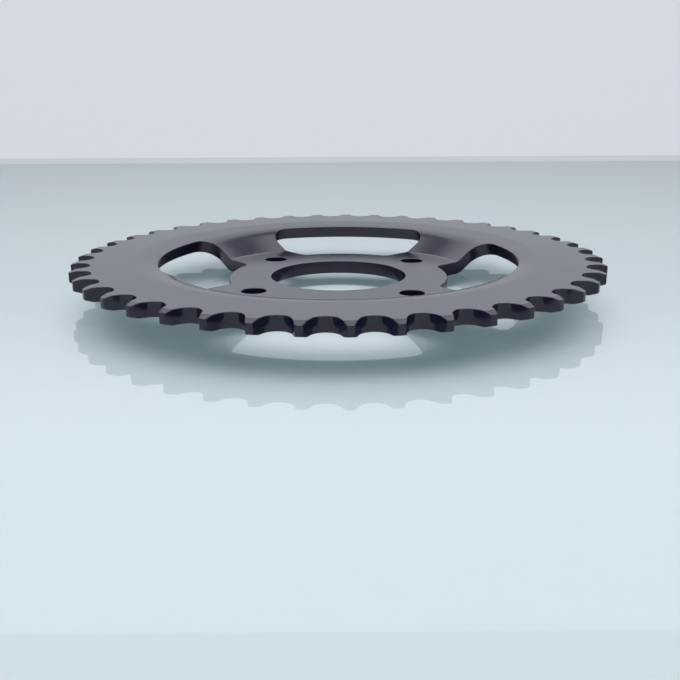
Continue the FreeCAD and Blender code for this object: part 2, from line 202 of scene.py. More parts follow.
def line_run(start, end, steps, air_direction):
    """Points of a straight run, without its last one."""
    return [
        (
            (
                start[0] + (end[0] - start[0]) * step / steps,
                start[1] + (end[1] - start[1]) * step / steps,
            ),
            air_direction,
        )
        for step in range(steps)
    ]


def along_line(start, direction, radius):
    """How far along a line its distance from the axis reaches a radius, going outwards."""
    ahead = start[0] * direction[0] + start[1] * direction[1]
    return math.sqrt(ahead**2 - start[0] ** 2 - start[1] ** 2 + radius**2) - ahead


# %% [markdown]
# One tooth. A chain roller rests in a seat a little larger than itself, and a straight flank
# leads from the seat to the tip. The drawing starts in the bottom of one gap and ends in the
# bottom of the next, because a cut there falls in the middle of a smooth arc and can't be seen.

# %% Outline of one tooth, centred on +X
EDGE_ROUND = 0.32
TIP_CORNER = 0.55
TOOTH_STEP = TAU / TOOTH_COUNT
SEAT_RADIUS = ROLLER_RADIUS + SEAT_CLEARANCE
SEAT_CENTRE = (PITCH_RADIUS + SEAT_CLEARANCE, 0.0)
GAP_HALF_ANGLE = TOOTH_STEP / 2 - math.asin(TIP_LAND / 2 / TIP_RADIUS)
SEAT_STEPS = 12
FLANK_STEP = 0.9
CORNER_STEPS = 4
LAND_STEPS = 2


def half_tooth():
    """From the bottom of the gap up to the middle of the tip, with the gap's middle on +X."""
    corner = turned((TIP_RADIUS, 0.0), GAP_HALF_ANGLE)
    across = corner[0] - SEAT_CENTRE[0]
    reach = math.hypot(across, corner[1])
    touch_angle = math.atan2(corner[1], across) + math.acos(SEAT_RADIUS / reach)
    run = arc_run(SEAT_CENTRE, SEAT_RADIUS, math.pi, touch_angle, SEAT_STEPS, -1)

    out = (math.cos(touch_angle), math.sin(touch_angle))
    air = (-out[0], -out[1])
    flank = (out[1], -out[0])
    touch = (SEAT_CENTRE[0] + SEAT_RADIUS * out[0], SEAT_CENTRE[1] + SEAT_RADIUS * out[1])
    inset = (touch[0] - air[0] * TIP_CORNER, touch[1] - air[1] * TIP_CORNER)
    length = along_line(inset, flank, TIP_RADIUS - TIP_CORNER)
    centre = (inset[0] + flank[0] * length, inset[1] + flank[1] * length)

    # The flank has a point where each side of the bevel's start crosses it
    rounded = (touch[0] - air[0] * EDGE_ROUND, touch[1] - air[1] * EDGE_ROUND)
    crossings = [
        along_line(rounded, flank, BEVEL_START + band) for band in (-BEVEL_BAND, BEVEL_BAND)
    ]
    stops = [0.0, *crossings, length]
    for first, last in zip(stops, stops[1:]):
        steps = max(1, round((last - first) / FLANK_STEP))
        start = (touch[0] + flank[0] * first, touch[1] + flank[1] * first)
        end = (touch[0] + flank[0] * last, touch[1] + flank[1] * last)
        run += line_run(start, end, steps, air)

    tip_angle = math.atan2(centre[1], centre[0])
    air_angle = math.atan2(air[1], air[0])
    run += arc_run(centre, TIP_CORNER, air_angle, tip_angle, CORNER_STEPS, 1)
    run += arc_run((0.0, 0.0), TIP_RADIUS, tip_angle, TOOTH_STEP / 2, LAND_STEPS, 1)
    return [(turned(place, -TOOTH_STEP / 2), turned(air, -TOOTH_STEP / 2)) for place, air in run]


def mirrored(run):
    """The same points on the other side of the X axis, in the opposite order."""
    return [((x, -y), (ax, -ay)) for (x, y), (ax, ay) in reversed(run)]


lower_half = half_tooth()
tip_middle = ((TIP_RADIUS, 0.0), (1.0, 0.0))
tooth_outline = [*lower_half, tip_middle, *mirrored(lower_half)]
print("tooth outline", len(tooth_outline), "points")

# %% [markdown]
# One window. Two arcs round the axis, two straight sides beside the bolts and four corners. The
# windows are blanked while the plate is flat, and pressing then tips their outer wall so that it
# stays square to the sheet. So the outline is drawn twice, below and above the plate, and the
# wall runs straight from one to the other.

# %% Outline of a window, centred on +X
WINDOW_STEPS = {"outer": 44, "outer_corner": 16, "side": 14, "inner_corner": 9, "inner": 22}
WALL_TOP, WALL_LEAN = section(WINDOW_OUTER, 0.0)
BOLT_ANGLE = math.pi / BOLT_COUNT


def corner_on_side(foot, corner_radius, centre_reach):
    """Centre of a corner arc that touches the window's side, and where it touches it."""
    along = (math.cos(WINDOW_SIDE_ANGLE), math.sin(WINDOW_SIDE_ANGLE))
    inward = (along[1], -along[0])
    base = (foot[0] + inward[0] * corner_radius, foot[1] + inward[1] * corner_radius)
    travel = along_line(base, along, centre_reach)
    centre = (base[0] + along[0] * travel, base[1] + along[1] * travel)
    return centre, (foot[0] + along[0] * travel, foot[1] + along[1] * travel)


def window_outline(height):
    """Outline of the cut at one height: anticlockwise, with the air inside it."""
    outer = WINDOW_OUTER + math.tan(WALL_LEAN) * (WALL_TOP - height)
    bolt = turned((BOLT_REACH, 0.0), BOLT_ANGLE)
    away = (math.sin(WINDOW_SIDE_ANGLE), -math.cos(WINDOW_SIDE_ANGLE))
    foot = (bolt[0] + away[0] * BOLT_WEB, bolt[1] + away[1] * BOLT_WEB)
    near, near_touch = corner_on_side(foot, INNER_CORNER, WINDOW_INNER + INNER_CORNER)
    far, far_touch = corner_on_side(foot, OUTER_CORNER, outer - OUTER_CORNER)
    near_turn = math.atan2(near[1], near[0])
    far_turn = math.atan2(far[1], far[0])
    side_turn = WINDOW_SIDE_ANGLE + math.pi / 2
    steps = WINDOW_STEPS
    origin = (0.0, 0.0)
    upper = arc_run(origin, outer, 0.0, far_turn, steps["outer"] // 2, -1)
    upper += arc_run(far, OUTER_CORNER, far_turn, side_turn, steps["outer_corner"], -1)
    upper += line_run(far_touch, near_touch, steps["side"], away)
    upper += arc_run(
        near, INNER_CORNER, side_turn, math.pi + near_turn, steps["inner_corner"], -1
    )
    upper += arc_run(origin, WINDOW_INNER, near_turn, 0.0, steps["inner"] // 2, 1)
    middle = ((WINDOW_INNER, 0.0), (1.0, 0.0))
    return [*upper, middle, *mirrored(upper[1:])]


print("window outline", len(window_outline(0.0)), "points")

# %% [markdown]
# Rounded edges. A cut edge under a dipped coat is a quarter round about a third of a millimetre
# in size. That is small, but it is what draws the fine light line along every window and hole.
# It is built as four loops of points: the first lies in the skin, the last in the wall, and
# the two between sit on the quarter circle. Each loop's normals lean over by the same angle.

# %% A store for one piece's vertices and faces
ROUND_ANGLES = [math.radians(angle) for angle in (0, 30, 60, 90)]
WALL_ROWS = 3
# A leaning wall meets the skin where both have one height, and this many tries settle it
WALL_TRIES = 8


class Stock:
    """Vertices in millimetres, their normals in the turning frame, and faces."""

    def __init__(self):
        self.places = []
        self.facings = []
        self.faces = []

    def add(self, x, y, z, normal):
        """Add a vertex. Its normal is kept as radial, tangential and axial parts."""
        length = math.sqrt(sum(part * part for part in normal))
        nx, ny, nz = (part / length for part in normal)
        radius = math.hypot(x, y)
        radial = (nx * x + ny * y) / radius
        tangential = (ny * x - nx * y) / radius
        self.places.append((x, y, z))
        self.facings.append((radial, tangential, nz))
        return len(self.places) - 1

    def strip(self, first, second, closed):
        """Join two loops of vertices with quads."""
        count = len(first)
        for here in range(count if closed else count - 1):
            after = (here + 1) % count
            self.faces.append((first[here], first[after], second[after], second[here]))


# %% An edge that goes through the plate


class Edge:
    """One cut outline: it makes the rounded loops of both skins and the wall between them."""

    def __init__(self, below, above, rise, closed):
        self.below, self.above, self.rise, self.closed = below, above, rise, closed
        self.loops = {}

    def wall_point(self, index, height):
        """Place and air direction of the wall at a height."""
        share = height / self.rise
        (x0, y0), (ax0, ay0) = self.below[index]
        (x1, y1), (ax1, ay1) = self.above[index]
        place = (x0 + (x1 - x0) * share, y0 + (y1 - y0) * share)
        ax, ay = ax0 + (ax1 - ax0) * share, ay0 + (ay1 - ay0) * share
        length = math.hypot(ax, ay)
        ax, ay = ax / length, ay / length
        tilt = -(ax * (x1 - x0) + ay * (y1 - y0)) / self.rise
        return place, (ax, ay, tilt)

    def round_over(self, stock, side):
        """Make the four loops of one skin's rounded edge."""
        loops = [[] for _ in ROUND_ANGLES]
        for index in range(len(self.below)):
            height = RING_TOP / 2
            for _ in range(WALL_TRIES):
                place, air = self.wall_point(index, height)
                height, _ = skin(side, *place)
            for loop, angle in zip(loops, ROUND_ANGLES):
                inset = EDGE_ROUND * (1 - math.sin(angle))
                drop = EDGE_ROUND * (1 - math.cos(angle))
                x, y = place[0] - air[0] * inset, place[1] - air[1] * inset
                level, normal = skin(side, x, y)
                lean = [
                    math.cos(angle) * flat + math.sin(angle) * wall
                    for flat, wall in zip(normal, air)
                ]
                loop.append(stock.add(x, y, level - side * drop, lean))
        self.loops[side] = loops
        for inner, outer in zip(loops, loops[1:]):
            stock.strip(inner, outer, self.closed)

    def wall(self, stock):
        """Join the two skins' last loops with a wall."""
        top = self.loops[TOP][-1]
        bottom = self.loops[UNDER][-1]
        last = top
        for row in range(1, WALL_ROWS + 1):
            if row == WALL_ROWS:
                current = bottom
            else:
                share = row / WALL_ROWS
                current = []
                for index, (high, low) in enumerate(zip(top, bottom)):
                    place = [
                        a + (b - a) * share for a, b in zip(stock.places[high], stock.places[low])
                    ]
                    _, air = self.wall_point(index, place[2])
                    current.append(stock.add(*place, air))
            stock.strip(last, current, self.closed)
            last = current


def straight_edge(outline, closed=False):
    """An edge whose wall stands square to the flange."""
    return Edge(outline, outline, RING_TOP, closed)


# %% [markdown]
# Filling the skins. Between the rounded loops each skin is a wide, nearly flat area with curved
# borders. Blender's constrained Delaunay triangulation fills such an area with even triangles if
# it gets guide points, here on rings round the axis. Points next to a border are left out, so
# that no thin triangle appears. Three points of a straight seam can still come out as a triangle
# without area, so what covers less than a millionth of a square millimetre is dropped. The
# triangles are found in the plan and lifted to the skin.

# %% Fill one skin between its borders
LEAST_AREA = 1e-6
MEETING_DISTANCE = 1e-7


def inside(points, loops):
    """Which points lie inside an odd number of closed loops."""
    found = np.zeros(len(points), bool)
    px, py = points[:, 0], points[:, 1]
    for loop in loops:
        for (x0, y0), (x1, y1) in zip(loop, np.roll(loop, -1, axis=0)):
            crosses = (y0 > py) != (y1 > py)
            if crosses.any():
                at = x0 + (py - y0) * (x1 - x0) / (y1 - y0 if y1 != y0 else 1.0)
                found ^= crosses & (px < at)
    return found


def fill_skin(stock, side, border_loops, guides, clearance):
    """Triangulate the plan inside the first loop and outside the others."""
    plan = np.array([place[:2] for place in stock.places])
    loops = [plan[loop] for loop in border_loops]
    border = np.concatenate(loops)
    guides = guides[inside(guides, loops)]
    gaps = np.sqrt(((guides[:, None, :] - border[None, :, :]) ** 2).sum(2)).min(1)
    guides = guides[gaps > clearance]
    guide_ids = []
    for x, y in guides:
        level, normal = skin(side, x, y)
        guide_ids.append(stock.add(x, y, level, normal))

    ids = [vertex for loop in border_loops for vertex in loop] + guide_ids
    position = {vertex: number for number, vertex in enumerate(ids)}
    points = [Vector(stock.places[vertex][:2]) for vertex in ids]
    edges = []
    for loop in border_loops:
        for here, after in zip(loop, [*loop[1:], loop[0]]):
            edges.append((position[here], position[after]))
    result = delaunay_2d_cdt(points, edges, [], 0, MEETING_DISTANCE)
    _, _, triangles, originals = result[:4]
    first_original = [ids[sources[0]] for sources in originals]
    corners = np.array([[first_original[corner] for corner in face] for face in triangles])
    plan = np.array([place[:2] for place in stock.places])
    sides = plan[corners[:, 1:]] - plan[corners[:, :1]]
    areas = np.abs(sides[:, 0, 0] * sides[:, 1, 1] - sides[:, 0, 1] * sides[:, 1, 0]) / 2
    keep = inside(plan[corners].mean(axis=1), loops) & (areas > LEAST_AREA)
    for face in corners[keep]:
        stock.faces.append(tuple(int(vertex) for vertex in (face if side == TOP else face[::-1])))


def ring_guides(radii, span, spacing):
    """Guide points on rings round the axis, staggered from ring to ring."""
    points = []
    for number, radius in enumerate(radii):
        steps = max(2, round(radius * span / spacing))
        offsets = np.arange(steps) + 0.5 if number % 2 else np.arange(1, steps)
        for angle in (offsets / steps - 0.5) * span:
            points.append((radius * math.cos(angle), radius * math.sin(angle)))
    return np.array(points)


# %% [markdown]
# Seams. One tooth meets the next along a line through the bottom of a gap, and one quarter of
# the web meets the next along a line through a bolt hole. The ring of teeth meets the web on a
# circle in the flat ring. Both sides of a seam must have the same points, so the circle's step
# divides a tooth and a quarter without a rest, and the lines use the same radii on both sides.

# %% Points on the seams
SEAM_RADIUS = 94.0
SEAM_STEPS_PER_TOOTH = 8
SEAM_STEP = TOOTH_STEP / SEAM_STEPS_PER_TOOTH
QUARTER = TAU / BOLT_COUNT
QUARTER_STEPS = round(QUARTER / SEAM_STEP)


def radial_run(stock, side, first, last, angle, spacing):
    """Vertices of a straight seam between two radii, without its ends."""
    steps = max(1, round(abs(last - first) / spacing))
    run = []
    for step in range(1, steps):
        x, y = turned((first + (last - first) * step / steps, 0.0), angle)
        level, normal = skin(side, x, y)
        run.append(stock.add(x, y, level, normal))
    return run


def seam_run(stock, side, steps):
    """Vertices of the seam circle, with both ends."""
    run = []
    for step in range(steps + 1):
        x, y = turned((SEAM_RADIUS, 0.0), (step - steps / 2) * SEAM_STEP)
        level, normal = skin(side, x, y)
        run.append(stock.add(x, y, level, normal))
    return run


def reach(stock, vertex):
    """Distance of a vertex from the axis."""
    return math.hypot(*stock.places[vertex][:2])


print("seam steps", SEAM_STEPS_PER_TOOTH, "a tooth and", QUARTER_STEPS, "a quarter")

# %% Make one tooth
TOOTH_SPACING = 1.25
# In an even net of triangles the rows stand closer than the points of a row
ROW_SHARE = 0.87
TOOTH_CLEARANCE = 0.28 * TOOTH_SPACING
TIP_RINGS = (TIP_RADIUS - 1.2, TIP_RADIUS - 2.1)


def make_tooth():
    """One tooth with its half gaps, from the seam circle out to the tip."""
    stock = Stock()
    edge = straight_edge(tooth_outline)
    half = TOOTH_STEP / 2
    row = ROW_SHARE * TOOTH_SPACING
    rings = np.arange(SEAM_RADIUS + TOOTH_SPACING, BEVEL_START - BEVEL_BAND, row)
    bands = (BEVEL_START - BEVEL_BAND, BEVEL_START + BEVEL_BAND)
    guides = np.concatenate(
        [
            ring_guides(rings, TOOTH_STEP, TOOTH_SPACING),
            ring_guides(bands, TOOTH_STEP, TOOTH_SPACING / 2),
            ring_guides(TIP_RINGS, TOOTH_STEP, TOOTH_SPACING),
        ]
    )
    for side in (TOP, UNDER):
        edge.round_over(stock, side)
        skin_loop = edge.loops[side][0]
        root = reach(stock, skin_loop[0])
        border = seam_run(stock, side, SEAM_STEPS_PER_TOOTH)
        border += radial_run(stock, side, SEAM_RADIUS, root, half, TOOTH_SPACING)
        border += skin_loop[::-1]
        border += radial_run(stock, side, root, SEAM_RADIUS, -half, TOOTH_SPACING)
        fill_skin(stock, side, [border], guides, TOOTH_CLEARANCE)
    edge.wall(stock)
    return stock


tooth_stock = make_tooth()
print("tooth", len(tooth_stock.places), "vertices", len(tooth_stock.faces), "faces")

# %% Make one quarter of the web
WEB_SPACING = 1.7
WEB_CLEARANCE = 0.45 * WEB_SPACING
FIRST_RING = BORE_RADIUS + 0.7 * WEB_SPACING
LAST_RING = SEAM_RADIUS - 0.8
BORE_STEPS = 60
BOLT_STEPS = 22


def make_quarter():
    """The web from bolt hole to bolt hole, with one window and its share of the bore."""
    stock = Stock()
    half = QUARTER / 2
    origin = (0.0, 0.0)
    bore_run = arc_run(origin, BORE_RADIUS, half, -half, BORE_STEPS, -1)
    bore_end = (turned((BORE_RADIUS, 0.0), -half), turned((-1.0, 0.0), -half))
    bore = straight_edge([*bore_run, bore_end])
    holes = {}
    for angle, first in ((-half, math.pi), (half, 0.0)):
        centre = turned((BOLT_REACH, 0.0), angle)
        start, end = angle + first, angle + first - math.pi
        run = arc_run(centre, BOLT_HOLE_RADIUS, start, end, BOLT_STEPS, -1)
        out = (math.cos(end), math.sin(end))
        place = (centre[0] + BOLT_HOLE_RADIUS * out[0], centre[1] + BOLT_HOLE_RADIUS * out[1])
        holes[angle] = straight_edge([*run, (place, (-out[0], -out[1]))])
    window = Edge(window_outline(0.0), window_outline(RING_TOP), RING_TOP, closed=True)
    rings = np.arange(FIRST_RING, LAST_RING, ROW_SHARE * WEB_SPACING)
    guides = ring_guides(rings, QUARTER, WEB_SPACING)
    for side in (TOP, UNDER):
        for edge in (bore, *holes.values(), window):
            edge.round_over(stock, side)
        low, high = holes[-half].loops[side][0], holes[half].loops[side][0]
        bore_loop = bore.loops[side][0]
        near, far = reach(stock, low[0]), reach(stock, low[-1])
        bore_reach = reach(stock, bore_loop[0])
        border = radial_run(stock, side, bore_reach, near, -half, WEB_SPACING)
        border += low
        border += radial_run(stock, side, far, SEAM_RADIUS, -half, WEB_SPACING)
        border += seam_run(stock, side, QUARTER_STEPS)
        border += radial_run(stock, side, SEAM_RADIUS, far, half, WEB_SPACING)
        border += high
        border += radial_run(stock, side, near, bore_reach, half, WEB_SPACING)
        border += bore_loop
        window_loop = window.loops[side][0]
        fill_skin(stock, side, [border, window_loop], guides, WEB_CLEARANCE)
    for edge in (bore, *holes.values(), window):
        edge.wall(stock)
    return stock


quarter_stock = make_quarter()
print("quarter", len(quarter_stock.places), "vertices", len(quarter_stock.faces), "faces")

# %% [markdown]
# From stock to Blender. The two pieces become plain meshes in metres. Each vertex keeps its
# normal in an attribute as radial, tangential and axial parts, which stay true however often
# the piece is turned round the axis.

# %% Mesh objects for the two pieces
FACING = "facing"


def piece_from(stock, name):
    """A mesh object with the facing attribute."""
    mesh = bpy.data.meshes.new(name)
    mesh.from_pydata([Vector(place) * MM for place in stock.places], [], stock.faces)
    facing = mesh.attributes.new(FACING, "FLOAT_VECTOR", "POINT")
    facing.data.foreach_set("vector", np.array(stock.facings, np.float32).ravel())
    piece = bpy.data.objects.new(name, mesh)
    bpy.context.scene.collection.objects.link(piece)
    return piece


tooth = piece_from(tooth_stock, "one_tooth")
quarter = piece_from(quarter_stock, "one_quarter")
print("pieces", tooth.name, quarter.name)

# %% [markdown]
# Colours. Paint makers and screens give colours as sRGB, while a renderer adds light in linear
# values. One function turns a hex colour into what the sockets expect.

# %% Colour and node helpers


def linear(hex_colour):
    """Linear RGBA of an sRGB hex colour."""
    values = [int(hex_colour[start : start + 2], 16) / 255 for start in (1, 3, 5)]
    return [v / 12.92 if v <= 0.04045 else ((v + 0.055) / 1.055) ** 2.4 for v in values] + [1.0]


def node(tree, kind, settings=None, **links):
    """Add a node. Settings name its properties and sockets, links name where sockets come from."""
    made = tree.nodes.new(kind)
    for name, value in (settings or {}).items():
        if hasattr(made, name):
            setattr(made, name, value)
        else:
            socket = made.inputs[name]
            socket.default_value = value
    for name, source in links.items():
        target = made.inputs[int(name[1:])] if name[0] == "_" else made.inputs[name]
        tree.links.new(source, target)
    return made


# %% [markdown]
# The coat. It is a black dip coat baked on to steel: a thin film of epoxy, smooth to the hand and
# satin to the eye. Seen from above it is almost black, and at a low angle it turns grey, because
# any clear film reflects more light the flatter one looks along it. So the finish is a dark base
# with a high index of refraction and a low roughness. The film has a faint orange peel. On the
# rim's bevels the turning marks of the lathe show through it as rings in the bump, and painted
# shade makes the base colour darker in their grooves.

# %% Material: black dip coat on pressed steel
PEEL_SIZE = 0.9 * MM
PEEL_HEIGHT = 0.02 * MM
PEEL_STRENGTH = 0.03
CLOUD_SIZE = 14 * MM
TURNING_FEED = 0.62 * MM
MARK_HEIGHT = 0.02 * MM
MARK_STRENGTH = 0.6
COAT_TONES = ("#13132b", "#15152d")
# Painted shade: a darker base colour in the grooves of the turning marks
GROOVE_PAINTED_SHADE = "#08080d"
COAT_ROUGHNESS = (0.16, 0.19)
COAT_IOR = 1.65
# Where the marks' wave, which runs from -1 to 1, turns from groove to full crest
CREST_SPAN = (0.2, 1.0)
# The span of a noise texture's value in which nearly all of it lies
NOISE_SPAN = (0.3, 0.7)
# How far a face points along the axis: a tooth's side doesn't, and its bevel does
SIDE_UPRIGHT, BEVEL_UPRIGHT = 0.6, 0.9


def ramp(given, made):
    """Settings of a Map Range node that turns one span of values into another."""
    return {"From Min": given[0], "From Max": given[1], "To Min": made[0], "To Max": made[1]}


def dip_coat():
    """Satin black epoxy coat over steel, with turning marks on the rim's bevels and painted shade
    in their grooves.
    """
    material = bpy.data.materials.new("black_dip_coat_on_steel")
    material.use_nodes = True
    tree = material.node_tree
    tree.nodes.clear()
    place = node(tree, "ShaderNodeTexCoord").outputs["Object"]

    # Faint clouds where the film dried thicker or thinner
    clouds = node(
        tree, "ShaderNodeTexNoise", {"Scale": 1 / CLOUD_SIZE, "Detail": 3.0}, Vector=place
    )
    tone = node(tree, "ShaderNodeValToRGB", Fac=clouds.outputs["Fac"])
    for element, colour in zip(tone.color_ramp.elements, COAT_TONES):
        element.color = linear(colour)
    gloss = node(
        tree, "ShaderNodeMapRange", ramp(NOISE_SPAN, COAT_ROUGHNESS), Value=clouds.outputs["Fac"]
    )

    # Turning marks: rings round the axis, only where the bevel is and only on its face
    parts = node(tree, "ShaderNodeSeparateXYZ", Vector=place)
    flat = node(tree, "ShaderNodeCombineXYZ", X=parts.outputs["X"], Y=parts.outputs["Y"])
    radius = node(tree, "ShaderNodeVectorMath", {"operation": "LENGTH"}, _0=flat.outputs[0])
    phase = node(tree, "ShaderNodeMath", {"operation": "MULTIPLY"}, _0=radius.outputs["Value"])
    phase.inputs[1].default_value = TAU / TURNING_FEED
    rings = node(tree, "ShaderNodeMath", {"operation": "SINE"}, _0=phase.outputs[0])
    band = ((BEVEL_START - BEVEL_BAND) * MM, (BEVEL_START + BEVEL_BAND) * MM)
    on_bevel = node(
        tree, "ShaderNodeMapRange", ramp(band, (0.0, 1.0)), Value=radius.outputs["Value"]
    )
    normal = node(tree, "ShaderNodeNewGeometry").outputs["Normal"]
    axial = node(tree, "ShaderNodeSeparateXYZ", Vector=normal)
    upright = node(tree, "ShaderNodeMath", {"operation": "ABSOLUTE"}, _0=axial.outputs["Z"])
    on_face = node(
        tree,
        "ShaderNodeMapRange",
        ramp((SIDE_UPRIGHT, BEVEL_UPRIGHT), (0.0, 1.0)),
        Value=upright.outputs[0],
    )
    product = {"operation": "MULTIPLY"}
    mask = node(tree, "ShaderNodeMath", product, _0=on_bevel.outputs[0], _1=on_face.outputs[0])
    marks = node(tree, "ShaderNodeMath", product, _0=rings.outputs[0], _1=mask.outputs[0])

    # The marks' crests have the coat's tone, and painted shade makes the grooves between them
    # darker
    groove = node(
        tree, "ShaderNodeMapRange", ramp(CREST_SPAN, (1.0, 0.0)), Value=rings.outputs[0]
    )
    painted_groove_shade = node(tree, "ShaderNodeMath", product, _0=groove.outputs[0], _1=mask.outputs[0])
    shade = node(
        tree,
        "ShaderNodeMix",
        {"data_type": "RGBA"},
        _0=painted_groove_shade.outputs[0],
        _6=tone.outputs["Color"],
    )
    shade.inputs[7].default_value = linear(GROOVE_PAINTED_SHADE)

    # Orange peel, then the marks on top of it
    peel = node(
        tree, "ShaderNodeTexNoise", {"Scale": 1 / PEEL_SIZE, "Detail": 2.0}, Vector=place
    )
    peel_bump = node(
        tree,
        "ShaderNodeBump",
        {"Strength": PEEL_STRENGTH, "Distance": PEEL_HEIGHT},
        Height=peel.outputs["Fac"],
    )
    mark_bump = node(
        tree,
        "ShaderNodeBump",
        {"Strength": MARK_STRENGTH, "Distance": MARK_HEIGHT},
        Height=marks.outputs[0],
        Normal=peel_bump.outputs["Normal"],
    )
    shader = node(tree, "ShaderNodeBsdfPrincipled", {"Metallic": 0.0, "IOR": COAT_IOR})
    tree.links.new(shade.outputs[2], shader.inputs["Base Color"])
    tree.links.new(gloss.outputs[0], shader.inputs["Roughness"])
    tree.links.new(mark_bump.outputs["Normal"], shader.inputs["Normal"])
    output = node(tree, "ShaderNodeOutputMaterial")
    tree.links.new(shader.outputs[0], output.inputs["Surface"])
    return material


coat = dip_coat()
print("material", coat.name, len(coat.node_tree.nodes), "nodes")

# %% [markdown]
# Turning the pieces round. Geometry Nodes sets one point for each copy on the axis, turns each
# copy by its share of the circle, makes them real and welds the seams. The tree's inputs are the
# two pieces, how many of each there are, the welding distance and the finish, so the same tree
# would make a sprocket of any tooth count.

# %% The tree that repeats a piece round the axis
WELD_DISTANCE = 0.004 * MM


def add_input(tree, name, kind):
    """Add a named input to a node tree and return its identifier."""
    return tree.interface.new_socket(name, in_out="INPUT", socket_type=kind).identifier


def copies_round(tree, source, count):
    """Nodes that place copies of one object evenly round the Z axis."""
    piece = node(tree, "GeometryNodeObjectInfo", Object=source)
    points = node(tree, "GeometryNodePoints", Count=count)
    number = node(tree, "GeometryNodeInputIndex")
    share = node(tree, "ShaderNodeMath", {"operation": "DIVIDE"}, _0=number.outputs[0], _1=count)
    angle = node(tree, "ShaderNodeMath", {"operation": "MULTIPLY"}, _0=share.outputs[0])
    angle.inputs[1].default_value = TAU
    turn = node(tree, "ShaderNodeCombineXYZ", Z=angle.outputs[0])
    return node(
        tree,
        "GeometryNodeInstanceOnPoints",
        Points=points.outputs[0],
        Instance=piece.outputs["Geometry"],
        Rotation=turn.outputs[0],
    )


def sprocket_tree():
    """One tooth and one quarter, repeated, welded and given their finish."""
    tree = bpy.data.node_groups.new("sprocket_from_tooth_and_quarter", "GeometryNodeTree")
    names = {
        "Tooth": "NodeSocketObject",
        "Tooth Count": "NodeSocketInt",
        "Quarter": "NodeSocketObject",
        "Quarter Count": "NodeSocketInt",
        "Weld Distance": "NodeSocketFloat",
        "Finish": "NodeSocketMaterial",
    }
    identifiers = {name: add_input(tree, name, kind) for name, kind in names.items()}
    tree.interface.new_socket("Geometry", in_out="OUTPUT", socket_type="NodeSocketGeometry")
    given = node(tree, "NodeGroupInput").outputs
    teeth = copies_round(tree, given["Tooth"], given["Tooth Count"])
    web = copies_round(tree, given["Quarter"], given["Quarter Count"])
    joined = node(tree, "GeometryNodeJoinGeometry")
    tree.links.new(teeth.outputs[0], joined.inputs[0])
    tree.links.new(web.outputs[0], joined.inputs[0])
    real = node(tree, "GeometryNodeRealizeInstances", Geometry=joined.outputs[0])
    welded = node(
        tree,
        "GeometryNodeMergeByDistance",
        Geometry=real.outputs[0],
        Distance=given["Weld Distance"],
    )
    finished = node(
        tree,
        "GeometryNodeSetMaterial",
        Geometry=welded.outputs[0],
        Material=given["Finish"],
    )
    output = node(tree, "NodeGroupOutput")
    tree.links.new(finished.outputs[0], output.inputs[0])
    return tree, identifiers


tree, inputs = sprocket_tree()
print("tree", tree.name, "inputs", sorted(inputs))

# %% Run the tree and keep its mesh
plate = bpy.data.objects.new("sprocket_plate", bpy.data.meshes.new("sprocket_plate"))
bpy.context.scene.collection.objects.link(plate)
maker = plate.modifiers.new("sprocket", "NODES")
maker.node_group = tree
for name, value in {
    "Tooth": tooth,
    "Tooth Count": TOOTH_COUNT,
    "Quarter": quarter,
    "Quarter Count": BOLT_COUNT,
    "Weld Distance": WELD_DISTANCE,
    "Finish": coat,
}.items():
    maker[inputs[name]] = value
evaluated = plate.evaluated_get(bpy.context.evaluated_depsgraph_get())
plate_mesh = bpy.data.meshes.new_from_object(evaluated)
plate.modifiers.remove(maker)
plate.data = plate_mesh
for used in (tooth, quarter):
    bpy.data.objects.remove(used)
print("plate", len(plate_mesh.vertices), "vertices", len(plate_mesh.polygons), "faces")

# %% [markdown]
# Shading. The mesh is now one closed skin, so its faces are first made to point outwards. Then
# each vertex gets the exact normal that was kept for it: on the bends that of the true circle,
# and on the rounded edges one that leans over step by step. Only this makes a reflection run
# over the edge without a kink.

# %% Point the faces outwards and set the exact normals
shell = bmesh.new()
shell.from_mesh(plate_mesh)
bmesh.ops.recalc_face_normals(shell, faces=shell.faces)
open_edges = sum(not edge.is_manifold for edge in shell.edges)
volume = shell.calc_volume(signed=True)
shell.to_mesh(plate_mesh)
shell.free()
plate_mesh.polygons.foreach_set("use_smooth", [True] * len(plate_mesh.polygons))

count = len(plate_mesh.vertices)
places = np.empty(count * 3, np.float32)
facings = np.empty(count * 3, np.float32)
plate_mesh.vertices.foreach_get("co", places)
plate_mesh.attributes[FACING].data.foreach_get("vector", facings)
places, facings = places.reshape(-1, 3), facings.reshape(-1, 3)
outward = places[:, :2] / np.hypot(places[:, 0], places[:, 1])[:, None]
around = np.stack([-outward[:, 1], outward[:, 0]], axis=1)
normals = np.empty_like(facings)
normals[:, :2] = facings[:, :1] * outward + facings[:, 1:2] * around
normals[:, 2] = facings[:, 2]
plate_mesh.normals_split_custom_set_from_vertices(normals)
plate_mesh.attributes.remove(plate_mesh.attributes[FACING])
print("open edges", open_edges, "volume", round(volume * 1e6, 2), "cubic centimetres")

# %% Give the plate its place in the frame
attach(plate, "root")
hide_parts("sprocket")

# %% [markdown]
# The table and the wall. The part stands on a glass pane that is painted pale on its back, with a
# pale wall behind it. The pane does two things. Its face mirrors the underside of the teeth and
# the wall, and its painted back lies deeper, so that the part's shadow is wide and weak. The wall
# has a painted glow: in reflections it grows lighter upwards, which the flat faces of the part
# pick up, while the camera sees it plain. All of it is stage, and not part of the object.

# %% Stage
FLOOR_HALF = 4.0
WALL_DISTANCE = 0.618
WALL_HEIGHT = 0.6
PANE_DEPTH = 0.006
PANE_IOR = 1.5
PANE_ROUGHNESS = 0.03
PAINT_GLOW = 0.37
# The wall's painted glow in reflections, at its lower and at its upper height
WALL_GLOW = (0.83, 1.5)
GLOW_HEIGHTS = (0.16, 0.33)
CAMERA_HEADING = math.radians(4.238)


